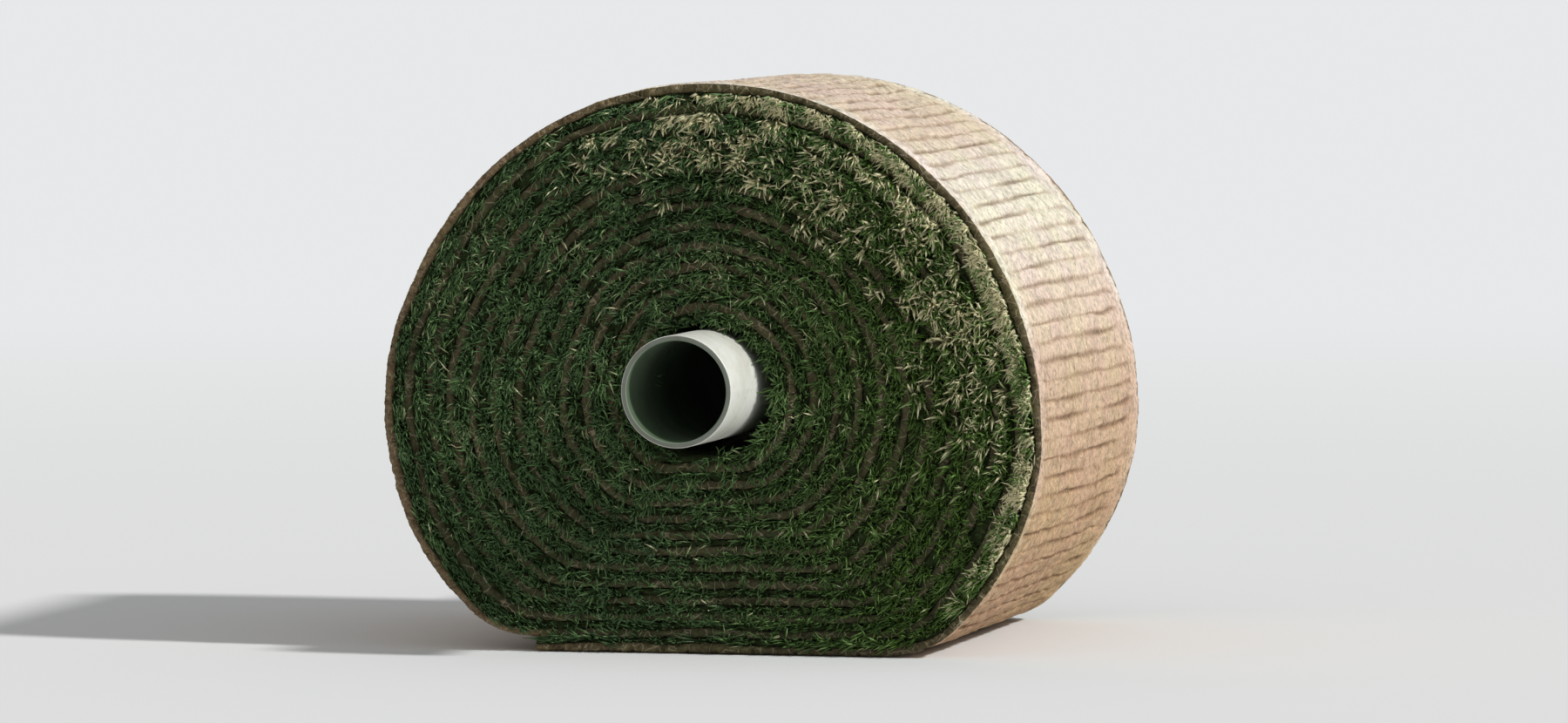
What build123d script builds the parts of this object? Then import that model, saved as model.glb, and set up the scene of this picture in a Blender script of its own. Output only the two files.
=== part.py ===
from build123d import *
import math
import os

# Roll of turf: one long strip wound soil side out on a plastic pipe, lying on its side.
# The roll has sagged under its weight to an oval, wide at the sides, with a flat underside.
# Sizes are millimetres. X runs across the roll, Y along its axis and Z up. The origin is on
# the ground, in the middle of the roll's width and halfway between its two ends.

# Strip of turf
strip_width = 750           # length of the roll along its axis
turn_count = 13             # turns from the pipe to the strip's outer end
side_thickness = 32.6       # one turn at the sides, where the turns lie loosest
top_thickness = 28.5        # one turn above the pipe
bottom_thickness = 23.8     # one turn below the pipe, where the weight presses it
soil_thickness = 14         # soil layer of the strip, which keeps its thickness all round
strip_end_x = -250          # where the strip's outer end lies, under the left side of the roll

# Sag of the roll
core_lift = 61              # pipe's axis above the widest level of the oval
sag = 105                   # how much of the oval the ground has flattened away
heel_rounding = 40          # height over which the flat underside runs out into the round side

# Turns seen on both ends of the roll: the grass between two layers of soil lies deeper
groove_depth = 12
groove_start = 1.15         # turns from the pipe where the groove begins

# Pipe
pipe_diameter = 160
pipe_wall = 7.7
pipe_stub = 170             # how far the pipe stands out at each end of the roll
pipe_edge = 1.5             # bevel round both edges of the pipe's ends
pipe_clearance = 0.3        # between the pipe and the innermost turn

# Outlines
outside_steps = 24          # points per turn of the roll's round outside, two to an arc
groove_steps = 48           # points per turn of the grooves, joined by straight stretches
end_search = 0.25           # turns searched on both sides of the strip's end for each layer's end
search_steps = 40

# Worked-out places
bore_radius = pipe_diameter / 2 + pipe_clearance
pipe_length = strip_width + 2 * pipe_stub
oval_half_width = bore_radius + turn_count * side_thickness
oval_rise = core_lift + bore_radius + turn_count * top_thickness


def turns_between(first_angle, last_angle):
    """Part of a turn between two angles given in radians."""
    return (last_angle - first_angle) / (2 * math.pi)


def level_share(axis_height):
    """Sine of the angle at which the oval meets the ground, on both sides of the roll."""
    level = axis_height - core_lift
    return (level + heel_rounding) / (level + sag)


# The strip's outer end lies pressed flat on the ground, from the angle at which the oval
# meets the ground on the right, to the angle of the strip's end on the left.
end_angle = -math.acos(strip_end_x / oval_half_width)
ground_angle = -math.asin(level_share(bore_radius + turn_count * bottom_thickness))
flat_turns = turns_between(end_angle, ground_angle)
axis_height = bore_radius + (turn_count - flat_turns) * bottom_thickness
oval_level = axis_height - core_lift
oval_drop = oval_level + sag


def rounded_maximum(first, second, span):
    """The larger of two heights, with the corner where they cross rounded off over span."""
    overlap = max(span - abs(first - second), 0)
    return max(first, second) + overlap**2 / (4 * span)


def turn_point(turns, inset=0):
    """Point of the winding after a number of turns, clockwise as seen from the front.

    The inset, in turns, leads inwards from the strip's outer side. The outline changes
    evenly from the round bore to the flattened oval.
    """
    angle = end_angle + 2 * math.pi * (turn_count - turns)
    share = (turns - inset) / turn_count
    across = math.cos(angle)
    up = math.sin(angle)
    half_height = oval_rise if up > 0 else oval_drop
    x = across * (bore_radius + share * (oval_half_width - bore_radius))
    round_height = axis_height + bore_radius * up
    oval_height = oval_level + half_height * up
    free_height = round_height + share * (oval_height - round_height)
    layers_below = turn_count - flat_turns - (turns - inset)
    floor_height = max(layers_below, 0) * bottom_thickness
    return x, rounded_maximum(free_height, floor_height, heel_rounding * share)


def soil_outside(turns):
    """Outer side of the strip's soil."""
    return turn_point(turns)


def soil_inside(turns):
    """Inner side of the strip's soil, where its grass begins."""
    whole_thickness = math.dist(turn_point(turns), turn_point(turns, 1))
    return turn_point(turns, soil_thickness / whole_thickness)


def grass_inside(turns):
    """Tips of the strip's grass, which lie on the soil of the turn before."""
    return turn_point(turns, 1)


def turns_at_end(place):
    """Number of turns at which one side of a layer reaches the strip's square-cut end."""
    low = turn_count - end_search
    high = turn_count + end_search
    for _ in range(search_steps):
        middle = (low + high) / 2
        if place(middle)[0] > strip_end_x:
            low = middle
        else:
            high = middle
    return low


def spiral(place, first, last, steps_per_turn):
    """Places from one number of turns to another, at an even number of equal steps."""
    steps = 2 * math.ceil((last - first) * steps_per_turn / 2)
    return [place(first + (last - first) * step / steps) for step in range(steps + 1)]


# Winding
front_end = Plane.XZ.offset(strip_width / 2)
back_groove = Plane.XZ.offset(groove_depth - strip_width / 2)
free_start = turns_at_end(grass_inside) - 1
free_end = turn_count - flat_turns
outside = spiral(soil_outside, free_start, free_end, outside_steps)
grass_side = spiral(grass_inside, groove_start, turns_at_end(grass_inside), groove_steps)
soil_side = spiral(soil_inside, groove_start, turns_at_end(soil_inside), groove_steps)
with BuildPart() as turf_roll:
    with BuildSketch(front_end):
        with BuildLine():
            for start, middle, end in zip(outside[:-2:2], outside[1::2], outside[2::2]):
                ThreePointArc(start, middle, end)
            Polyline(outside[-1], (strip_end_x, 0), outside[0])
        make_face()
    extrude(amount=-strip_width)
    with BuildSketch(front_end, back_groove):
        with BuildLine():
            Polyline(*grass_side, *reversed(soil_side), close=True)
        make_face()
    extrude(amount=-groove_depth, mode=Mode.SUBTRACT)
    with Locations((0, 0, axis_height)):
        Cylinder(bore_radius, strip_width, rotation=(90, 0, 0), mode=Mode.SUBTRACT)

# Pipe
with BuildPart() as core_tube:
    with Locations((0, 0, axis_height)):
        Cylinder(pipe_diameter / 2, pipe_length, rotation=(90, 0, 0))
        Cylinder(pipe_diameter / 2 - pipe_wall, pipe_length, rotation=(90, 0, 0), mode=Mode.SUBTRACT)
    chamfer(core_tube.edges().filter_by(GeomType.CIRCLE), pipe_edge)

# The pieces are drawn about the pipe's axis, and stored about the middle of the roll's width
to_middle = Pos(-turf_roll.part.bounding_box().center().X, 0, 0)
nodes = {"turf_roll": turf_roll.part, "core_tube": core_tube.part}
os.makedirs("parts", exist_ok=True)
for name, solid in nodes.items():
    export_step(to_middle * solid, f"parts/{name}.step")
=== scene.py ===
import math

import bpy
import numpy as np
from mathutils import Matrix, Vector


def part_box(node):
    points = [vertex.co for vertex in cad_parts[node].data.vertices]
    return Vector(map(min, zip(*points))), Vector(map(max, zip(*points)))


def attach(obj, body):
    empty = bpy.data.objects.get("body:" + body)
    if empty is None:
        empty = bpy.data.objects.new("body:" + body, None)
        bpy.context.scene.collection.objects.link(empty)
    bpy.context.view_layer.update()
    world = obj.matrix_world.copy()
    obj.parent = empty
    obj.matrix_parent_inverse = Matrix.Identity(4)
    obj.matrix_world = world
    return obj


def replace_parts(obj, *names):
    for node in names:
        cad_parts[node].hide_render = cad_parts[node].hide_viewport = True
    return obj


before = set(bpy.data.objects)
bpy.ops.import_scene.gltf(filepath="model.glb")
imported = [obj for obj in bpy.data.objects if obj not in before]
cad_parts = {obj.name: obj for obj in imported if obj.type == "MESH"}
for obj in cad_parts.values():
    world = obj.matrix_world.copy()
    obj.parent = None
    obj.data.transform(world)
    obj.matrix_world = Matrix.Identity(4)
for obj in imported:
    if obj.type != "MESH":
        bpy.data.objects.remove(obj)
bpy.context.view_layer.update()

# Sizes of the winding, in metres, as in the solid
turn_count = 13
side_thickness = 0.0326
top_thickness = 0.0285
bottom_thickness = 0.0238
soil_thickness = 0.014
strip_end_x = -0.250
core_lift = 0.061
sag = 0.105
heel_rounding = 0.040
pipe_clearance = 0.0003
pipe_wall = 0.0077

# Places read from the frame
tube_low, tube_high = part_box("core_tube")
roll_low, roll_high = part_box("turf_roll")
tube_radius = (tube_high.x - tube_low.x) / 2
tube_end = tube_high.y
axis_x = (tube_low.x + tube_high.x) / 2
bore_radius = tube_radius + pipe_clearance
half_strip = (roll_high.y - roll_low.y) / 2

# Places of the oval
oval_half_width = bore_radius + turn_count * side_thickness
oval_rise = core_lift + bore_radius + turn_count * top_thickness
end_angle = -math.acos(strip_end_x / oval_half_width)
free_level = bore_radius + turn_count * bottom_thickness - core_lift
ground_angle = -math.asin((free_level + heel_rounding) / (free_level + sag))
flat_turns = (ground_angle - end_angle) / (2 * math.pi)
axis_height = bore_radius + (turn_count - flat_turns) * bottom_thickness
oval_level = axis_height - core_lift
oval_drop = oval_level + sag

# Turns of the winding, which lie a little unevenly
first_turn = 1.15               # turns from the tube where the strip's ends begin to show
last_turn = turn_count - 1      # where the outermost turn begins
wander_height = 0.0025          # how far the turns wander from an even oval
wander_length = 0.30
calm_outside = 0.2              # turns at the outside that keep to the even oval
outside_fade = 1.5              # turns over which the wandering sets in from there
tube_fade = 2                   # turns over which it sets in from the tube
ground_fade = 0.15              # height over the ground over which it sets in
turn_shift = 0.0035             # how far single turns stand out at one end of the roll
shift_length = 1.3              # turns from one that stands out to the next
shift_limit = 2                 # no turn stands out more than this many times as far
shift_fade = 2                  # turns over which this fades towards the strip's end

# Soil
soil_share = 0.4                # the soil's part of one turn
thickness_change = 0.10         # uneven thickness of the soil, as a share of it
thickness_length = 0.10         # length of its waves
thickness_limit = 1.5           # the change is at most this many times as much
end_cut = 0.06                  # turns over which the layers draw level with the square-cut end
edge_depths = np.array([0.0, 0.15, 0.50, 0.85, 1.0])    # points of a cut edge, from its inner side
edge_rounding = np.array([0.9, 0.2, 0.0, 0.3, 1.0])     # how much of the rounding each gets
rim_rounding = 0.005            # worn corners of the soil's cut edges
crumb_depth = 0.0030            # nicks and crumbs of the cut edges
crumb_waves = ((0.5, 0.040), (0.5, 0.016), (0.5, 0.008))    # share and size of the crumbs
corner_loss = 0.4               # how much of the crumbs' depth also lowers the outer corner
edge_wander = 0.0030            # how far the cut edges wander from a straight line
edge_waves = ((0.6, 0.21), (0.4, 0.07))     # share and length of this wandering
inner_stations = 3000           # rings of points along the inner turns
outer_stations = 1300           # and along the outermost turn
outer_columns = 40              # points of a ring across the roll's outside

# Outside of the outermost turn
ridge_pitch = 0.028             # grooves across the strip, at the marks of the cutting blade
groove_depth = 0.0026
groove_width = 0.0060
width_change, width_length = 0.30, 0.08         # uneven width of the grooves, as a share of it
width_range = (0.5, 1.6)
groove_bend, bend_length = 0.0026, 0.45         # height and length of the grooves' wide bends
groove_waver, waver_length = 0.0007, 0.07       # and of their short ones
strength_mean, strength_change, strength_length = 0.75, 0.30, 0.06     # how clearly they show
strength_range = (0.2, 1.25)
front_margin = 0.035            # the grooves end short of the strip's edges
back_margin = 0.060
margin_fade = 0.02
margin_wander, margin_length = 0.010, 0.09      # how raggedly they end
lump_height = 0.0018
lump_waves = ((0.5, 0.24), (0.4, 0.10), (0.4, 0.048))       # share and length of the lumps
grit_height = 0.0004
grit_length = 0.016

# Dryness of the soil, with painted light and painted shade added to it, from 0 for damp and dark
# to 1 for dry and pale. A zone is a place where something sets in, and the span over which it does
inner_dryness = (0.045, 0.040)  # inner turns, dark as damp soil and as painted shade: at the ground, and how much paler above
inner_heights = (0.08, 0.30)    # height where this begins, and height over which it grows
belt_dryness = (0.55, 0.37)     # roll's outside, at the ground, and how much drier at the top
lit_edge = 0.050                # painted highlight: the soil is paler along the strip's edges, where they catch the light
lit_edge_fade = 0.025
lit_edge_gain = 0.10
sunny_side = math.radians(33)     # painted sunlight: paler where the roll's right side faces up by this angle, towards the sun
sunny_side_zone = (0.90, 0.10)
sunny_side_gain = 0.13
rim_dryness_and_shade = 0.10              # cut edges of the outermost turn, dark as damp soil and as painted shade
rim_top_gain = 0.05             # which are paler towards the top right
rim_top_start = -0.5
rim_left_gain = 0.20            # and paler on the left side
rim_left_start = 0.2

# Parts of the roll's face, in places across and up the oval that run from -1 to 1
top_right_way = (0.6, 0.8)
tall_zone = (0.19, 0.55)        # towards the top right, where tall tufts stand, tinted pale as painted sunlit flecks
sunlit_rim_zone = (-0.40, 0.7)        # towards the right, where the outermost turn's grass is painted pale, as sunlit
sunlit_rim_heights = (0.04, 0.12)     # and the heights over which that sets in above the ground

# Rings of turns, from where something sets in and is full to where it begins to fade and ends
tall_ring = (last_turn - 5, last_turn - 2, last_turn - 0.5, last_turn - 0.2)
sunlit_rim_ring = (last_turn - 0.1, last_turn + 0.2, turn_count, turn_count + 0.1)

# Grass
mat_recess = 0.010              # the mat of stems lies this deep between the soil edges
mat_relief, mat_length = 0.003, 0.03            # height and length of its unevenness
mat_stations = 1900             # rings of points along the mat
root_depth = 0.003              # the blades stand this deep in the mat
root_margin = 0.03              # and at least this share of the grass layer off the soil
root_stations = 6000            # places along the strip between which the tufts are spread
thin_change, thin_length = 0.45, 0.06           # thin and dense spots, and their size
density_range = (0.2, 2)
tuft_size = 6                   # blades that grow from one root
tuft_radius = 0.0035
shared_lean = 0.8               # how much of a blade's lean it shares with its tuft
own_lean = 0.6
rim_lean = 0.8                  # share of it that the outermost blades keep, all inwards
lean_range = (0.5, 1.3)         # least and most that single blades make of their lean
curl = 0.45                     # how far the blades bend to any side on their way up
outward_bend = 0.25             # how far they bend away from the roll's end
droop = 0.35                    # how far they hang down
blade_twist = 0.9               # turn of the blades about their own length, in radians
blade_flatness = 0.25           # thickness of a blade as a share of its width
blade_corners = ((-0.5, -0.3), (0.5, -0.3), (0.0, 0.7))     # section, across and through a blade
blade_taper = 0.5               # share of its width that a blade loses towards its tip
first_bend = 0.8                # place of its first bend, in stretches between two bends
blade_rest = 0.9                # how much longer it is than its number of bends, in stretches
blade_clearance = 0.001         # no blade reaches lower over the ground
end_gap = 0.004                 # turns between the last blades and the strip's end

# Colour of the blades, from 0 for dark green to 1 for straw
plain_tint = (0.45, 0.10)       # its middle, and how much it differs in flecks
blade_change = 0.16             # from blade to blade
broad_change, broad_length = 0.10, 0.12         # in wide patches, and their size
fleck_share = 0.95              # how much of the flecks comes in patches; on the tall and pale tufts they are painted sunlit tips
fleck_length = 0.032            # size of the patches
tuft_share = 0.50               # how much of the flecks comes from tuft to tuft
low_shade, low_shade_span = 0.16, 0.30               # painted shade: darker below the pipe's axis, over this height
sunlit_rim_mean, sunlit_rim_change, sunlit_rim_length = 0.50, 0.30, 0.05      # painted sunlight: paler on the outermost turn's right side, unevenly
straw_share, straw_tint = 0.006, 0.9            # a few blades are straw-coloured
sun_warmth_start = axis_x - 0.05    # painted sunlight: the greens turn yellower from here
sun_warmth_end = axis_x + 0.30      # to here

# Fine roots on the soil: the edges of cells, bent by waves
thread_cells = 42
thread_waves = 14
thread_bend = 0.05
thread_width = 0.035

# Pipe
plastic_roughness = 0.38
bore_zone = (0.80, 0.98)        # shares of the wall over which the bore's dirt and painted shade set in
cut_zone = (0.0010, 0.0004)     # depths in the pipe's end over which its cut face's dirt and painted shade set in
cut_dirt_and_shade = 0.85

# Random draws: one seed to each use, and how much the waves of one pattern differ
wander_seed, edge_seed, belt_seed, shift_seed, mat_seed, grass_seed = 5, 11, 23, 31, 47, 59
wave_spread = (0.7, 1.4)        # shortest and longest wave, as shares of the stated length


def rounded_maximum(first, second, span):
    """The larger of two heights, with the corner where they cross rounded off over span."""
    overlap = np.maximum(span - np.abs(first - second), 0)
    return np.maximum(first, second) + overlap**2 / (4 * span)


def turn_point(turns, inset=0.0):
    """Points (x, z) of the winding after numbers of turns, inset towards the tube."""
    turns = np.asarray(turns, float)
    angle = end_angle + 2 * math.pi * (turn_count - turns)
    share = (turns - inset) / turn_count
    across, up = np.cos(angle), np.sin(angle)
    half_height = np.where(up > 0, oval_rise, oval_drop)
    x = across * (bore_radius + share * (oval_half_width - bore_radius))
    round_height = axis_height + bore_radius * up
    free_height = round_height + share * (oval_level + half_height * up - round_height)
    floor_height = np.maximum(turn_count - flat_turns - (turns - inset), 0) * bottom_thickness
    z = rounded_maximum(free_height, floor_height, heel_rounding * share)
    return np.stack([axis_x + x, z], -1)


def smooth_step(value, start=0.0, span=1.0):
    """From 0 to 1 with soft ends, as a value grows from a start over a span."""
    value = np.clip((value - start) / span, 0, 1)
    return value * value * (3 - 2 * value)


def unit(vectors):
    """Vectors of length 1."""
    return vectors / np.linalg.norm(vectors, axis=-1, keepdims=True)


def waves(rng, places, wavelength, count=14):
    """Smooth random heights of about 1 over rows of places, with waves of one size."""
    places = np.asarray(places, float)
    directions = unit(rng.normal(size=(count, places.shape[-1])))
    lengths = wavelength * rng.uniform(*wave_spread, count)
    phases = rng.uniform(0, 2 * math.pi, count)
    angles = places @ (2 * math.pi * directions / lengths[:, None]).T + phases
    return np.cos(angles).sum(-1) * math.sqrt(2 / count)


def streaks(rng, places, wavelength, squeeze):
    """Waves over the roll's outside, the longer across the strip, the smaller squeeze is."""
    return waves(rng, places * (1, squeeze), wavelength)


def wandered(points, turns):
    """The same points, moved in and out a little where the turns lie unevenly."""
    rng = np.random.default_rng(wander_seed)
    fade = smooth_step(turn_count - turns, calm_outside, outside_fade)
    fade = fade * smooth_step(turns, span=tube_fade) * smooth_step(points[:, 1], span=ground_fade)
    outwards = unit(points - np.array([axis_x, oval_level]))
    return points + outwards * (wander_height * fade * waves(rng, points, wander_length))[:, None]


def layer_points(turns):
    """Outer side of the soil, inner side of the soil and tips of the grass, for each turn."""
    rng = np.random.default_rng(wander_seed + 1)
    outer, tips = turn_point(turns), turn_point(turns, 1.0)
    whole = np.linalg.norm(outer - tips, axis=-1)
    uneven = waves(rng, outer, thickness_length)
    uneven = 1 + thickness_change * np.clip(uneven, -thickness_limit, thickness_limit)
    inner = outer + (tips - outer) * (soil_thickness * uneven / whole)[:, None]
    level = smooth_step(turns - turn_count + end_cut, span=end_cut)
    for layer in (inner, tips):
        layer[:, 0] += level * (outer[:, 0] - layer[:, 0])
    return wandered(outer, turns), wandered(inner, turns - soil_share), wandered(tips, turns - 1)


def top_right(points):
    """How far places (x, z) lie towards the top right of the roll, from about -1 to 1."""
    across = (points[..., 0] - axis_x) / oval_half_width
    up = (points[..., 1] - oval_level) / oval_rise
    return top_right_way[0] * across + top_right_way[1] * up


def top_right_zone(points):
    """Where the tall tufts stand, from 0 to 1."""
    return smooth_step(top_right(points), *tall_zone)


def sunlit_right_zone(points):
    """Where the outermost turn's grass is painted pale as if sunlit, from 0 to 1: the right side
    down to the ground.
    """
    across = (points[..., 0] - axis_x) / oval_half_width
    return smooth_step(across, *sunlit_rim_zone) * smooth_step(points[..., 1], *sunlit_rim_heights)


def run_length(points):
    """Length along a line of points, at each of them."""
    return np.concatenate([[0], np.cumsum(np.linalg.norm(np.diff(points, axis=0), axis=1))])


def side_shift(turns):
    """How far the strip stands out towards the front after numbers of turns."""
    rng = np.random.default_rng(shift_seed)
    drift = waves(rng, np.asarray(turns)[..., None], shift_length, count=8)
    drift = np.clip(drift, -shift_limit, shift_limit)
    return turn_shift * drift * smooth_step(turn_count - np.asarray(turns), span=shift_fade)


def build_mesh(name, points, faces, attributes=None):
    """Mesh object from arrays: faces is a list of arrays with one row for each face."""
    mesh = bpy.data.meshes.new(name)
    points = np.asarray(points, np.float32)
    mesh.vertices.add(len(points))
    mesh.vertices.foreach_set("co", points.ravel())
    corners = np.concatenate([f.ravel() for f in faces]).astype(np.int32)
    sizes = np.concatenate([np.full(len(f), f.shape[1]) for f in faces]).astype(np.int32)
    mesh.loops.add(len(corners))
    mesh.loops.foreach_set("vertex_index", corners)
    mesh.polygons.add(len(sizes))
    starts = np.concatenate([[0], np.cumsum(sizes)[:-1]]).astype(np.int32)
    mesh.polygons.foreach_set("loop_start", starts)
    mesh.polygons.foreach_set("use_smooth", np.ones(len(sizes), bool))
    for key, values in (attributes or {}).items():
        layer = mesh.attributes.new(key, "FLOAT", "POINT")
        layer.data.foreach_set("value", np.asarray(values, np.float32))
    mesh.update(calc_edges=True)
    mesh.validate()
    piece = bpy.data.objects.new(name, mesh)
    bpy.context.scene.collection.objects.link(piece)
    return piece


def band_faces(stations, loop):
    """Quads of a closed band of rings, and its two end caps."""
    index = np.arange(stations * loop).reshape(stations, loop)
    following = np.roll(index, -1, axis=1)
    quads = np.stack([index[:-1], following[:-1], following[1:], index[1:]], -1).reshape(-1, 4)
    return [quads, index[:1, ::-1], index[-1:]]


def place_piece(piece, material):
    """Give a piece of the turf its material and its body."""
    piece.data.materials.append(material)
    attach(piece, "root")
    return piece


def in_space(xz, y):
    """Points in space from places (x, z) across the roll and places y along it."""
    xz, y = np.broadcast_arrays(xz, np.asarray(y)[..., None])
    return np.stack([xz[..., 0], y[..., 0], xz[..., 1]], -1)


def soil_rings(turns, columns, relief):
    """Rings of points round the soil's section at each of the turns, and its groove marks.

    Each ring runs up the front edge, over the outer side, down the back edge and back
    along the inner side.
    """
    rng = np.random.default_rng(edge_seed)
    outer, inner, _ = layer_points(turns)
    across = outer - inner
    direction = unit(across)
    run, shift = run_length(outer), side_shift(turns)
    rounding = rim_rounding * edge_rounding
    along = np.linspace(-1, 1, columns + 2)[1:-1] * (half_strip - rim_rounding)
    ends = np.array([-1, 1]) * (half_strip - rim_rounding)
    heights, grooves = relief(run, np.concatenate([ends, along]))
    sides = []
    for number, side in enumerate((-1, 1)):
        order = slice(None, None, -side)
        depth, inwards = edge_depths[order], rounding[order]
        places = np.stack(np.broadcast_arrays(run[:, None], soil_thickness * depth), -1)
        crumbs = sum(share * np.abs(waves(rng, places, size)) for share, size in crumb_waves)
        wander = sum(share * waves(rng, run[:, None], size) for share, size in edge_waves)
        cut_edge_change = inwards + crumb_depth * crumbs + edge_wander * np.maximum(wander, 0)[:, None]
        y = side * (half_strip - cut_edge_change) - shift[:, None]
        xz = inner[:, None] + across[:, None] * depth[:, None]
        corner = -1 if side < 0 else 0
        corner_height = heights[:, number] - corner_loss * crumb_depth * crumbs[:, corner]
        xz[:, corner] += direction * corner_height[:, None]
        sides.append(in_space(xz, y))
    face = outer[:, None] + direction[:, None] * heights[:, 2:, None]
    top = in_space(face, along - shift[:, None])
    bottom = in_space(inner[:, None], np.array([0.0]) - shift[:, None])
    front_marks = np.zeros((len(turns), len(edge_depths)))
    back_marks = np.zeros((len(turns), len(edge_depths) + 1))
    marks = np.concatenate([front_marks, grooves[:, 2:], back_marks], 1)
    return np.concatenate([sides[0], top, sides[1], bottom], 1), marks


def no_relief(run, along):
    """Heights and grooves of a soil layer without relief on its outer side."""
    zeros = np.zeros((len(run), len(along)))
    return zeros, zeros


def belt_relief(run, along):
    """Heights of the roll's outside, and how deep in a groove each place lies."""
    rng = np.random.default_rng(belt_seed)
    places = np.stack(np.broadcast_arrays(run[:, None], along[None, :]), -1)
    wander = groove_bend * waves(rng, places, bend_length)
    wander += groove_waver * streaks(rng, places, waver_length, squeeze=0.4)
    phase = (places[..., 0] + wander) / ridge_pitch
    nearest = np.abs(phase - np.round(phase)) * ridge_pitch
    uneven = 1 + width_change * streaks(rng, places, width_length, squeeze=0.3)
    width = groove_width * np.clip(uneven, *width_range)
    profile = np.exp(-((nearest / (0.5 * width)) ** 2))
    ragged = margin_wander * streaks(rng, places, margin_length, squeeze=0)
    front = smooth_step(places[..., 1] + half_strip - front_margin + ragged, span=margin_fade)
    back = smooth_step(half_strip - places[..., 1] - back_margin - ragged, span=margin_fade)
    uneven = strength_change * streaks(rng, places, strength_length, squeeze=0.15)
    strength = np.clip(strength_mean + uneven, *strength_range)
    groove = profile * front * back * strength
    lumps = sum(share * waves(rng, places, size) for share, size in lump_waves)
    grit = grit_height * streaks(rng, places, grit_length, squeeze=0.3)
    return np.minimum(lump_height * (lumps - 1) + grit, 0) - groove_depth * groove, groove


def new_material(name, roughness, specular):
    """A material, with its nodes, a shorthand for links, and its shader."""
    material = bpy.data.materials.new(name)
    material.use_nodes = True
    nodes = material.node_tree.nodes
    shader = nodes["Principled BSDF"]
    shader.inputs["Roughness"].default_value = roughness
    shader.inputs["Specular IOR Level"].default_value = specular
    return material, nodes, material.node_tree.links.new, shader


def object_place(nodes):
    """Place on the object, in metres."""
    return nodes.new("ShaderNodeTexCoord").outputs["Object"]


def point_value(nodes, name):
    """A value that the mesh holds at its points."""
    node = nodes.new("ShaderNodeAttribute")
    node.attribute_name = name
    return node.outputs["Fac"]


def noise_value(nodes, link, place, scale, detail, roughness, distortion=0.0):
    """Noise over a place, as a value."""
    node = nodes.new("ShaderNodeTexNoise")
    node.inputs["Scale"].default_value = scale
    node.inputs["Detail"].default_value = detail
    node.inputs["Roughness"].default_value = roughness
    node.inputs["Distortion"].default_value = distortion
    link(place, node.inputs["Vector"])
    return node.outputs["Fac"]


def ramp_colour(nodes, link, value, stops):
    """Colours along a value, from a list of (position, colour); a grey is one number."""
    node = nodes.new("ShaderNodeValToRGB")
    ramp = node.color_ramp
    while len(ramp.elements) < len(stops):
        ramp.elements.new(0.5)
    for element, (position, colour) in zip(ramp.elements, stops):
        element.position = position
        element.color = (*colour, 1) if isinstance(colour, tuple) else (colour, colour, colour, 1)
    link(value, node.inputs["Fac"])
    return node.outputs["Color"]


def mixed(nodes, link, first, second, factor, blend="MIX"):
    """Mix of two colours, each a socket or a fixed colour."""
    node = nodes.new("ShaderNodeMix")
    node.data_type = "RGBA"
    node.blend_type = blend
    sockets = {socket.identifier: socket for socket in (*node.inputs, *node.outputs)}
    for value, key in ((first, "A_Color"), (second, "B_Color"), (factor, "Factor_Float")):
        if isinstance(value, bpy.types.NodeSocket):
            link(value, sockets[key])
        elif isinstance(value, tuple):
            sockets[key].default_value = (*value, 1)
        else:
            sockets[key].default_value = value
    return sockets["Result_Color"]


def mapped(nodes, link, value, source, target=(0, 1), interpolation="LINEAR"):
    """A value moved from one range to another, and held at the ends of it."""
    node = nodes.new("ShaderNodeMapRange")
    node.interpolation_type = interpolation
    for name, number in zip(("From Min", "From Max", "To Min", "To Max"), (*source, *target)):
        node.inputs[name].default_value = number
    link(value, node.inputs["Value"])
    return node.outputs["Result"]


def part_of(nodes, link, vector, axis):
    """One of a vector's three parts."""
    node = nodes.new("ShaderNodeSeparateXYZ")
    link(vector, node.inputs[0])
    return node.outputs[axis]


def vector_step(nodes, link, operation, vector, second=(0, 0, 0)):
    """Result of an operation on a vector, and on a fixed second one where it takes two."""
    node = nodes.new("ShaderNodeVectorMath")
    node.operation = operation
    node.inputs[1].default_value = second
    link(vector, node.inputs[0])
    return node.outputs["Value" if operation == "LENGTH" else "Vector"]


def root_threads(nodes, link, place):
    """Thin wandering lines, as fine roots on soil, as a factor."""
    warp = nodes.new("ShaderNodeTexNoise")
    warp.inputs["Scale"].default_value = thread_waves
    link(place, warp.inputs["Vector"])
    shift = nodes.new("ShaderNodeVectorMath")
    shift.operation = "MULTIPLY_ADD"
    shift.inputs[1].default_value = (thread_bend, thread_bend, thread_bend)
    link(warp.outputs["Color"], shift.inputs[0])
    link(place, shift.inputs[2])
    cells = nodes.new("ShaderNodeTexVoronoi")
    cells.feature = "DISTANCE_TO_EDGE"
    cells.inputs["Scale"].default_value = thread_cells
    link(shift.outputs["Vector"], cells.inputs["Vector"])
    return ramp_colour(nodes, link, cells.outputs["Distance"], [(0.0, 0.5), (thread_width, 0.0)])


def add_bumps(nodes, link, shader, layers):
    """Bumps on top of each other, from (value, strength, height in metres)."""
    normal = None
    for value, strength, height in layers:
        bump = nodes.new("ShaderNodeBump")
        bump.inputs["Strength"].default_value = strength
        bump.inputs["Distance"].default_value = height
        link(value, bump.inputs["Height"])
        if normal is not None:
            link(normal, bump.inputs["Normal"])
        normal = bump.outputs["Normal"]
    link(normal, shader.inputs["Normal"])


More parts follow.
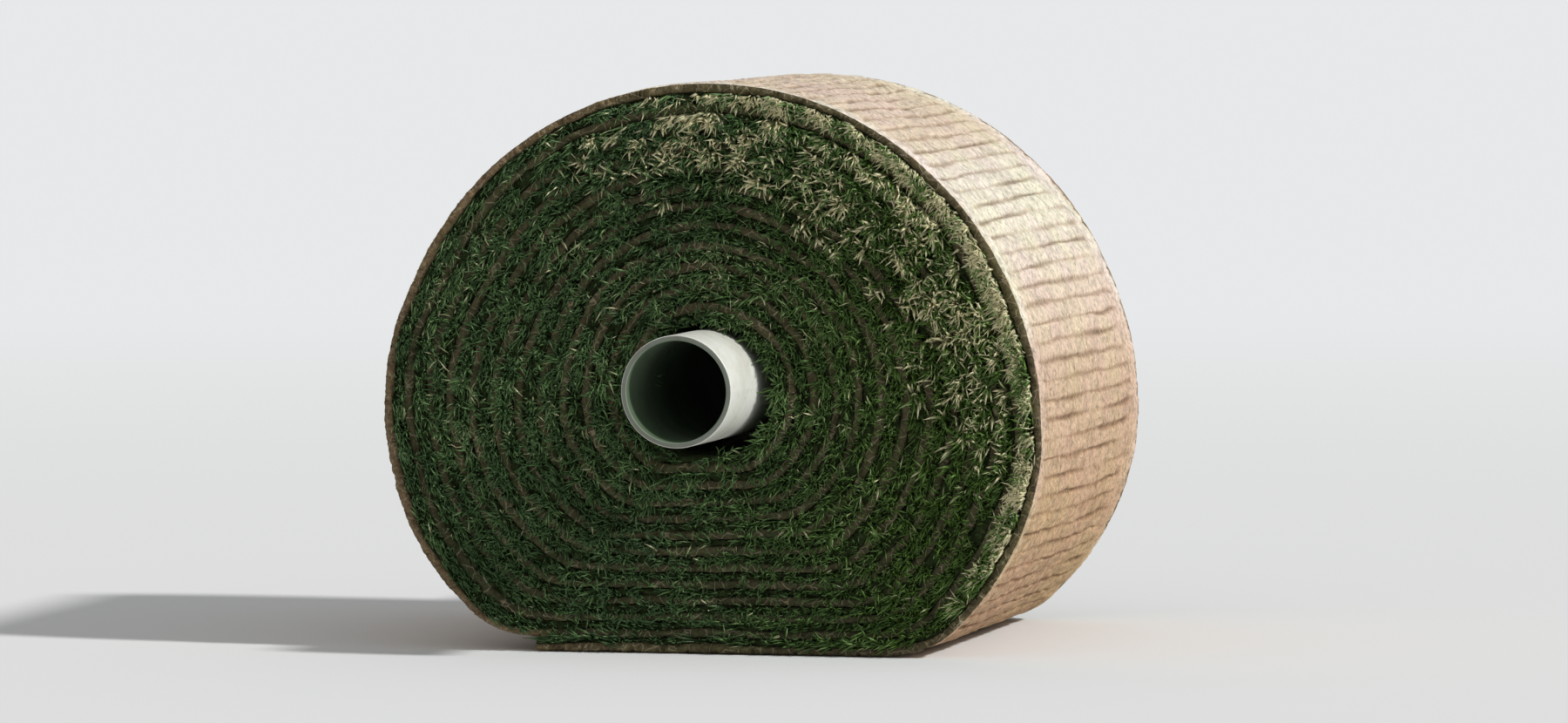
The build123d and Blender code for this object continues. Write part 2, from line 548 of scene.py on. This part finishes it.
def soil_material():
    """Sandy soil with fine roots: pale where dry, tan where moist, dark where wet; its pale and
    dark tones also hold painted highlights and painted shade, and the grooves are darkened as
    painted shade.
    """
    material, nodes, link, shader = new_material("soil", roughness=0.95, specular=0.12)
    place = object_place(nodes)
    clods = noise_value(nodes, link, place, scale=38, detail=6, roughness=0.62)
    crumbs = noise_value(nodes, link, place, scale=120, detail=5, roughness=0.68)
    broad = noise_value(nodes, link, place, scale=7, detail=3, roughness=0.5)
    grains = noise_value(nodes, link, place, scale=320, detail=3, roughness=0.7)
    shades = [(0.0, (0.070, 0.078, 0.040)), (0.20, (0.180, 0.145, 0.080)),
              (0.42, (0.40, 0.27, 0.16)), (0.60, (0.66, 0.45, 0.28)), (0.92, (0.88, 0.73, 0.58)),
              (1.0, (0.96, 0.88, 0.76))]
    soil = ramp_colour(nodes, link, point_value(nodes, "dryness_and_light"), shades)
    tinge = ramp_colour(nodes, link, broad, [(0.38, (1.0, 1.02, 0.93)), (0.62, (1.0, 0.95, 0.98))])
    tinged = mixed(nodes, link, soil, tinge, 1.0, "MULTIPLY")
    # painted shade: the grooves are darkened as if shaded, over their real relief
    groove_painted_shade = [(0.0, 1.0), (0.35, (0.80, 0.75, 0.71)), (1.0, (0.46, 0.41, 0.37))]
    groove_shading = ramp_colour(nodes, link, point_value(nodes, "groove"), groove_painted_shade)
    clod_shade = ramp_colour(nodes, link, clods, [(0.30, 0.70), (0.50, 1.0), (0.70, 1.10)])
    crumb_shade = ramp_colour(nodes, link, crumbs, [(0.32, 0.58), (0.50, 1.0), (0.68, 1.26)])
    lined = mixed(nodes, link, tinged, groove_shading, 1.0, "MULTIPLY")
    clodded = mixed(nodes, link, lined, clod_shade, 1.0, "MULTIPLY")
    crumbled = mixed(nodes, link, clodded, crumb_shade, 1.0, "MULTIPLY")
    specks = ramp_colour(nodes, link, grains, [(0.60, 0.0), (0.74, 0.45)])
    speckled = mixed(nodes, link, crumbled, (0.20, 0.13, 0.07), specks)
    threads = root_threads(nodes, link, place)
    link(mixed(nodes, link, speckled, (0.66, 0.55, 0.38), threads), shader.inputs["Base Color"])
    bumps = [(clods, 0.8, 0.012), (crumbs, 0.9, 0.006), (grains, 0.7, 0.0015)]
    add_bumps(nodes, link, shader, bumps)
    return material


def mat_material():
    """Dense dark mat of stems and dead grass."""
    material, nodes, link, shader = new_material("stems", roughness=0.9, specular=0.1)
    place = object_place(nodes)
    fibres = noise_value(nodes, link, place, scale=150, detail=4, roughness=0.7, distortion=1.2)
    greens = [(0.30, (0.012, 0.018, 0.006)), (0.52, (0.035, 0.052, 0.018)),
              (0.72, (0.09, 0.11, 0.045))]
    link(ramp_colour(nodes, link, fibres, greens), shader.inputs["Base Color"])
    add_bumps(nodes, link, shader, [(fibres, 0.8, 0.004)])
    return material


def grass_material():
    """Blades of grass: painted shade at the root and painted highlight above, yellower on the
    right as painted sunlight, some of straw.
    """
    material, nodes, link, shader = new_material("grass", roughness=0.42, specular=0.5)
    tint = point_value(nodes, "tint")
    straw = (0.96, (0.84, 0.79, 0.48))
    left = [(0.0, (0.056, 0.120, 0.038)), (0.5, (0.108, 0.215, 0.068)),
            (0.80, (0.222, 0.372, 0.135)), straw]
    right = [(0.0, (0.057, 0.120, 0.014)), (0.5, (0.110, 0.215, 0.028)),
             (0.80, (0.235, 0.388, 0.110)), straw]
    # painted light: warmer, less blue greens on the sunlit right, bluer ones on the left in
    # skylight
    across = part_of(nodes, link, object_place(nodes), "X")
    painted_sun_warmth = mapped(nodes, link, across, (sun_warmth_start, sun_warmth_end))
    skylit_greens = ramp_colour(nodes, link, tint, left)
    sunlit_greens = ramp_colour(nodes, link, tint, right)
    greens = mixed(nodes, link, skylit_greens, sunlit_greens, painted_sun_warmth)
    # painted shade low among the blades and painted highlight at their tips: dark at the root,
    # brighter than white at the tip
    heights = [(0.0, (0.30, 0.28, 0.22)), (0.5, (0.85, 0.85, 0.85)), (1.0, (1.5, 1.45, 1.5))]
    shade = ramp_colour(nodes, link, point_value(nodes, "height"), heights)
    link(mixed(nodes, link, greens, shade, 1.0, "MULTIPLY"), shader.inputs["Base Color"])
    return material


def outer_dryness_and_light(rings):
    """Dryness of the outermost turn, with painted highlights and painted shade, for its rings of
    points.
    """
    from_edge = half_strip - np.abs(rings[..., 1])
    dryness_and_light = belt_dryness[0] + belt_dryness[1] * smooth_step(rings[..., 2] / roll_high.z)
    # painted highlight along the strip's edges
    dryness_and_light += lit_edge_gain * smooth_step(lit_edge - from_edge, span=lit_edge_fade)
    # painted sunlight: paler where the roll's outside faces the sun at the upper right
    outwards = unit((rings[..., ::2] - (axis_x, oval_level)) / (oval_half_width, oval_rise))
    sun_facing = outwards @ (math.cos(sunny_side), math.sin(sunny_side))
    dryness_and_light += sunny_side_gain * smooth_step(sun_facing, *sunny_side_zone)
    # both cut edges up to their outer corners, and the inner side between them
    inner_points = len(edge_depths) - 1
    cut_edges = [*range(inner_points), *range(-inner_points - 1, 0)]
    places = rings[:, cut_edges][..., ::2]
    top_gain = rim_top_gain * smooth_step(top_right(places), rim_top_start)
    left_side = smooth_step(rim_left_start - (places[..., 0] - axis_x) / oval_half_width)
    # painted shade, with damp soil: the outermost turn's cut edges are dark
    dryness_and_light[:, cut_edges] = rim_dryness_and_shade + top_gain + rim_left_gain * left_side
    return dryness_and_light


def make_soil():
    """The strip's soil: the inner turns, and the outermost turn with its grooves."""
    material = soil_material()
    rings, _ = soil_rings(np.linspace(first_turn, last_turn, inner_stations), 1, no_relief)
    # painted shade, with damp soil: the inner turns' cut edges are dark, and darker towards the
    # ground
    inner_edge_dryness_and_shade = inner_dryness[0] + inner_dryness[1] * smooth_step(rings[..., 2], *inner_heights)
    inside = build_mesh("inner_turns_soil", rings.reshape(-1, 3), band_faces(*rings.shape[:2]),
                        {"dryness_and_light": inner_edge_dryness_and_shade.ravel()})
    place_piece(inside, material)
    turns = np.linspace(last_turn, turn_count, outer_stations)
    rings, grooves = soil_rings(turns, outer_columns, belt_relief)
    outside = build_mesh("outer_turn_soil", rings.reshape(-1, 3), band_faces(*rings.shape[:2]),
                         {"dryness_and_light": outer_dryness_and_light(rings).ravel(), "groove": grooves.ravel()})
    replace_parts(place_piece(outside, material), "turf_roll")


def make_mat():
    """The mat of stems and dead grass between two layers of soil."""
    rng = np.random.default_rng(mat_seed)
    turns = np.linspace(first_turn, turn_count, mat_stations)
    _, soil_side, tips = layer_points(turns)
    shift, run = side_shift(turns), run_length(soil_side)
    rings = []
    for side, shares in ((-1, (0.0, 0.5, 1.0)), (1, (1.0, 0.5, 0.0))):
        for share in shares:
            rough = mat_relief * waves(rng, run[:, None], mat_length)
            y = side * (half_strip - mat_recess + rough) - shift
            rings.append(in_space(tips + (soil_side - tips) * share, y))
    rings = np.stack(rings, 1)
    mat = build_mesh("grass_mat", rings.reshape(-1, 3), band_faces(*rings.shape[:2]))
    place_piece(mat, mat_material())


def grass_roots(rng, count, gather):
    """Turns where blades stand, and how far each stands through the layer of grass, from 0 to 1.

    Tufts are spread evenly by area, or gathered in a ring of turns and a zone of the roll's
    face. The blades of one tuft follow each other, a few millimetres apart.
    """
    turns = np.linspace(first_turn, turn_count - end_gap, root_stations)
    _, soil_side, tips = layer_points(turns)
    gap, run = np.linalg.norm(soil_side - tips, axis=1), run_length(soil_side)
    density = gap * np.gradient(run)
    uneven = 1 + thin_change * waves(rng, soil_side, thin_length)
    density *= np.clip(uneven, *density_range)
    if gather:
        ring, zone = gather
        density *= np.interp(turns, ring, (0, 1, 1, 0)) * zone(soil_side)
    total = np.cumsum(density)
    tufts = rng.uniform(0, total[-1], count // tuft_size)
    along = np.repeat(np.interp(tufts, total, run), tuft_size)
    across = np.repeat(rng.uniform(0, 1, len(tufts)), tuft_size)
    along += rng.normal(0, tuft_radius, len(along))
    chosen = np.clip(np.interp(along, run, turns), turns[0], turns[-1])
    spread = tuft_radius / np.interp(along, run, gap)
    across += rng.normal(0, 1, len(along)) * spread
    return chosen, np.clip(across, root_margin, 1 - root_margin)


def tuft_lean(rng, count, spread):
    """How far blades lean to one side: mostly as their tuft does, and some on their own."""
    tufts = np.repeat(rng.normal(0, shared_lean * spread, count // tuft_size), tuft_size)
    return tufts + rng.normal(0, own_lean * spread, count)


def blade_ways(rng, side, inward, rim, spread):
    """Directions in which blades start and end, from the way inwards at each root.

    Where rim is true, they lean inwards and stay clear of the roll's outline.
    """
    count = len(inward)
    outwards = np.array([0, side, 0.0])
    along = np.cross(inward, outwards)
    lean_in, lean_along = tuft_lean(rng, count, spread[0]), tuft_lean(rng, count, spread[1])
    lean_in = np.where(rim, rim_lean * np.abs(lean_in)[:, None], lean_in[:, None])
    strength = rng.uniform(*lean_range, count)[:, None]
    start = unit(outwards + strength * (lean_in * inward + lean_along[:, None] * along))
    pull = np.array([0, outward_bend * side, -droop])
    finish = unit(start + rng.normal(0, curl, (count, 3)) + pull)
    outward_part = np.maximum(-(finish * inward).sum(-1, keepdims=True), 0)
    return start, np.where(rim, unit(finish + outward_part * inward), finish)


def blade_layers(rng, side, root, start, finish, bends, lengths, widths):
    """Points of slender closed blades from root to tip, and their heights from 0 to 1.

    A blade is pointed at both ends, with a three-sided section at each of its bends.
    """
    count = len(root)
    length = rng.uniform(*lengths, count)[:, None]
    width = rng.uniform(*widths, count)[:, None]
    twist = rng.normal(0, blade_twist, count)[:, None]
    level = unit(np.cross(start, np.array([0, side, 0.0])))
    flat = level * np.cos(twist) + np.cross(start, level) * np.sin(twist)
    thick = np.cross(start, flat)
    layers, heights = [root], [0.0]
    for bend in range(bends):
        rise = (bend + first_bend) / (bends + blade_rest)
        centre = root + length * (rise * start + rise**2 / 2 * (finish - start))
        narrowed = width * (1 - blade_taper * rise**2)
        for a, b in blade_corners:
            layers.append(centre + narrowed * (a * flat + b * blade_flatness * thick))
            heights.append(rise)
    layers.append(root + length * (start + finish) / 2)
    heights.append(1.0)
    return layers, heights


def blade_faces(count, size):
    """Faces of blades with a number of points each: fans at both ends, and quads between."""
    last, tip = size - 4, size - 1
    fans = [(0, 2, 1), (0, 3, 2), (0, 1, 3)]
    fans += [(last, last + 1, tip), (last + 1, last + 2, tip), (last + 2, last, tip)]
    sides = [(k, k + 1, k + 4, k + 3) for low in range(1, last, 3) for k in (low, low + 1)]
    sides += [(low + 2, low, low + 3, low + 5) for low in range(1, last, 3)]
    base = (np.arange(count) * size)[:, None]
    groups = [group for group in (fans, sides) if group]
    return [np.concatenate([base + np.array(face) for face in group]) for group in groups]


def blade_tints(rng, turns, root, soil_side, tint):
    """Tint of each blade, from the place of its root in space and on the roll's face."""
    count = len(turns)
    shades = tint[0] + blade_change * rng.normal(size=count)
    shades = shades + broad_change * waves(rng, root, broad_length)
    patches = fleck_share * waves(rng, root, fleck_length)
    tufts = np.repeat(rng.normal(0, tuft_share, count // tuft_size), tuft_size)
    shades += tint[1] * (patches + tufts)
    # painted shade: darker towards the ground
    shades -= low_shade * smooth_step(axis_height - root[:, 2], span=low_shade_span)
    # painted sunlight on the outermost turn's grass on the right side
    ragged = np.clip(sunlit_rim_mean + sunlit_rim_change * waves(rng, soil_side, sunlit_rim_length), 0, 1)
    shades += ragged * np.interp(turns, sunlit_rim_ring[:2], (0, 1)) * sunlit_right_zone(soil_side)
    return np.where(rng.uniform(size=count) < straw_share, straw_tint, np.clip(shades, 0, 1))


def make_grass(name, side, material, seed, count, bends, lengths, widths, spread,
               tint=plain_tint, gather=None):
    """Blades that stand out between the soil edges at one end of the roll."""
    rng = np.random.default_rng(seed)
    turns, share = grass_roots(rng, count, gather)
    _, soil_side, tips = layer_points(turns)
    depth = half_strip - mat_recess - root_depth
    root = soil_side + (tips - soil_side) * share[:, None]
    root = in_space(root, side * depth - side_shift(turns))
    inward = in_space(unit(tips - soil_side), np.zeros(len(turns)))
    rim = (turns > last_turn - 1)[:, None]
    start, finish = blade_ways(rng, side, inward, rim, spread)
    layers, heights = blade_layers(rng, side, root, start, finish, bends, lengths, widths)
    points = np.stack(layers, 1).reshape(-1, 3)
    points[:, 2] = np.maximum(points[:, 2], blade_clearance)
    shades = blade_tints(rng, turns, root, soil_side, tint)
    values = {"tint": np.repeat(shades, len(layers)), "height": np.tile(heights, len(turns))}
    blades = build_mesh(name, points, blade_faces(len(turns), len(layers)), values)
    place_piece(blades, material)


def make_all_grass():
    """Short and long blades all over, tall ones at the top right and pale ones on the right, both
    tinted pale as painted sunlight.
    """
    material = grass_material()
    for end, side in (("front", -1), ("back", 1)):
        seed = grass_seed + 10 * (side + 1)
        make_grass(f"short_grass_{end}", side, material, seed, count=27500, bends=1,
                   lengths=(0.015, 0.027), widths=(0.0026, 0.0040), spread=(0.6, 1.0))
        make_grass(f"long_grass_{end}", side, material, seed + 1, count=12000, bends=2,
                   lengths=(0.025, 0.043), widths=(0.0022, 0.0034), spread=(0.9, 1.4))
        # tall pale tufts at the top right: painted sunlit flecks
        make_grass(f"tall_grass_{end}", side, material, seed + 2, count=4400, bends=2,
                   lengths=(0.028, 0.046), widths=(0.0040, 0.0056), spread=(0.5, 0.7),
                   tint=(0.75, 0.70), gather=(tall_ring, top_right_zone))
        # pale blades on the right: painted sunlight on the outermost turn
        make_grass(f"sunlit_pale_grass_{end}", side, material, seed + 3, count=2700, bends=1,
                   lengths=(0.024, 0.036), widths=(0.0046, 0.0066), spread=(0.5, 0.9),
                   tint=(0.52, 0.35), gather=(sunlit_rim_ring, sunlit_right_zone))


def in_bore(nodes, link, place):
    """From 0 on the pipe's outside to 1 in its bore."""
    from_axis = vector_step(nodes, link, "SUBTRACT", place, (axis_x, 0, axis_height))
    flattened = vector_step(nodes, link, "MULTIPLY", from_axis, (1, 0, 1))
    radius = vector_step(nodes, link, "LENGTH", flattened)
    radii = [tube_radius - pipe_wall * share for share in bore_zone]
    return mapped(nodes, link, radius, radii)


def on_cut_face(nodes, link, place):
    """From 0 along the pipe to the strength of the dirt and painted shade on its two cut faces."""
    distance = nodes.new("ShaderNodeMath")
    distance.operation = "ABSOLUTE"
    link(part_of(nodes, link, place, "Y"), distance.inputs[0])
    places = [tube_end - depth for depth in cut_zone]
    return mapped(nodes, link, distance.outputs["Value"], places, (0, cut_dirt_and_shade))


def make_tube():
    """The plastic pipe: off-white, with smears of soil, and dark inside and on its cut faces, with
    dirt and painted shade.
    """
    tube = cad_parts["core_tube"]
    material, nodes, link, shader = new_material("pale_plastic", plastic_roughness, 0.25)
    place = object_place(nodes)
    stains = noise_value(nodes, link, place, scale=9, detail=5, roughness=0.6)
    dust = noise_value(nodes, link, place, scale=60, detail=4, roughness=0.7)
    whites = [(0.35, (0.68, 0.67, 0.59)), (0.55, (0.83, 0.83, 0.76)), (0.75, (0.88, 0.88, 0.83))]
    plastic = ramp_colour(nodes, link, stains, whites)
    dirt = ramp_colour(nodes, link, dust, [(0.55, 0.0), (0.75, 0.35)])
    soiled = mixed(nodes, link, plastic, (0.30, 0.22, 0.14), dirt)
    cut = on_cut_face(nodes, link, place)
    # painted shade, with dirt: the pipe's cut faces are dark
    cut_edge_change = mixed(nodes, link, soiled, (0.080, 0.100, 0.070), cut)
    # painted shade, with dirt: the bore is dark inside
    bore_dirt_and_shade_colours = [(0.35, (0.084, 0.130, 0.072)), (0.70, (0.150, 0.200, 0.130))]
    bore_dirt_and_shade = ramp_colour(nodes, link, stains, bore_dirt_and_shade_colours)
    inside = in_bore(nodes, link, place)
    link(mixed(nodes, link, cut_edge_change, bore_dirt_and_shade, inside), shader.inputs["Base Color"])
    roughness = mapped(nodes, link, inside, (0, 1), (plastic_roughness, 1.0))
    link(roughness, shader.inputs["Roughness"])
    add_bumps(nodes, link, shader, [(dust, 0.15, 0.001)])
    for slot in tube.material_slots:
        slot.material = material


# Camera: where the photograph was taken from, with a longer lens
eye_distance = 13.55
eye_height = 1.08
eye_angle = math.radians(13.0)      # between the roll's axis and the line of sight
aim = (0.035, -0.05, 0.405)
lens = 212

# Light and ground
floor_colour = (0.80, 0.80, 0.79)
floor_radius = 12
fade_start = 2.5                    # from here outwards the floor fades into the backdrop
fade_end = 0.95 * floor_radius
backdrop_colour = (0.80, 0.81, 0.82)
sun_height = math.radians(38)
sun_before = math.radians(10)       # the sun stands a little before the roll's front end
sun_size = math.radians(5)
sun_strength = 2.6
sky_strength = 0.42
sky_colour = (0.96, 0.98, 1.0)


def turned_to(place, target):
    """Rotation of a lamp or camera that looks from a place to a target."""
    return (Vector(target) - Vector(place)).to_track_quat("-Z", "Y").to_euler()


def make_floor():
    """Pale plain floor, which fades into the backdrop around it."""
    bpy.ops.mesh.primitive_circle_add(vertices=96, radius=floor_radius, fill_type="NGON")
    floor = bpy.context.object
    floor.name = "floor"
    material, nodes, link, shader = new_material("floor", roughness=0.9, specular=0.0)
    shader.inputs["Base Color"].default_value = (*floor_colour, 1)
    distance = vector_step(nodes, link, "LENGTH", object_place(nodes))
    fade = mapped(nodes, link, distance, (fade_end, fade_start), interpolation="SMOOTHSTEP")
    link(fade, shader.inputs["Alpha"])
    floor.data.materials.append(material)


def make_light():
    """Pale backdrop, an even sky, and a soft sun from the right."""
    world = bpy.data.worlds.new("studio")
    bpy.context.scene.world = world
    world.use_nodes = True
    nodes, link = world.node_tree.nodes, world.node_tree.links.new
    light = nodes["Background"]
    light.inputs["Color"].default_value = (*sky_colour, 1)
    light.inputs["Strength"].default_value = sky_strength
    seen = nodes.new("ShaderNodeBackground")
    seen.inputs["Color"].default_value = (*backdrop_colour, 1)
    path = nodes.new("ShaderNodeLightPath")
    shown = path.outputs["Is Camera Ray"]
    for ray in ("Is Glossy Ray", "Is Transmission Ray"):
        either = nodes.new("ShaderNodeMath")
        either.operation = "MAXIMUM"
        link(shown, either.inputs[0])
        link(path.outputs[ray], either.inputs[1])
        shown = either.outputs["Value"]
    mix = nodes.new("ShaderNodeMixShader")
    link(shown, mix.inputs["Fac"])
    link(light.outputs["Background"], mix.inputs[1])
    link(seen.outputs["Background"], mix.inputs[2])
    link(mix.outputs["Shader"], nodes["World Output"].inputs["Surface"])
    data = bpy.data.lights.new("sun", "SUN")
    data.energy = sun_strength
    data.angle = sun_size
    lamp = bpy.data.objects.new("sun", data)
    level = math.cos(sun_height)
    place = (level * math.cos(sun_before), -level * math.sin(sun_before), math.sin(sun_height))
    lamp.rotation_euler = turned_to(place, (0, 0, 0))
    bpy.context.scene.collection.objects.link(lamp)


def make_camera():
    """Camera at the photograph's viewing angle."""
    data = bpy.data.cameras.new("camera")
    data.lens = lens
    camera = bpy.data.objects.new("camera", data)
    across, before = math.sin(eye_angle) * eye_distance, math.cos(eye_angle) * eye_distance
    camera.location = (across, -before, eye_height)
    camera.rotation_euler = turned_to(camera.location, aim)
    bpy.context.scene.collection.objects.link(camera)
    bpy.context.scene.camera = camera


make_soil()
make_mat()
make_all_grass()
make_tube()
make_floor()
make_light()
make_camera()
bpy.context.scene.view_settings.view_transform = "Standard"
